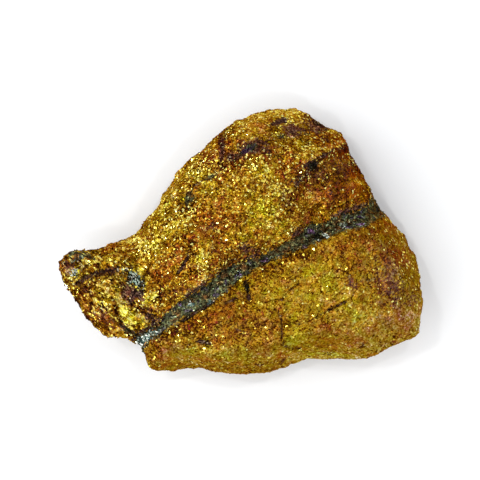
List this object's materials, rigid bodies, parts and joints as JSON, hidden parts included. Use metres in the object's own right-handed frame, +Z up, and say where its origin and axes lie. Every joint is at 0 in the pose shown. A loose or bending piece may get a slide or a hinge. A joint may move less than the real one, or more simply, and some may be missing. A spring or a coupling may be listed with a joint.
{
  "type": "chalcopyrite specimen",
  "caption": "Rough hand specimen of massive chalcopyrite: a sparkling upper block and a smoother lower block, parted by a dark slanting seam, with a narrow horn at one end.",
  "frame": {"origin": "middle of the stone's footprint, on the surface that it rests on", "axes": "+X along the stone from the horn to the broad end, +Y from the straight lower edge to the crown, +Z up through its thickness"},
  "size_m": [0.0602, 0.044, 0.0214],
  "materials": {
    "chalcopyrite": "satin"
  },
  "bodies": {
    "root": {"chalcopyrite_stone": "chalcopyrite"}
  },
  "joints": []
}
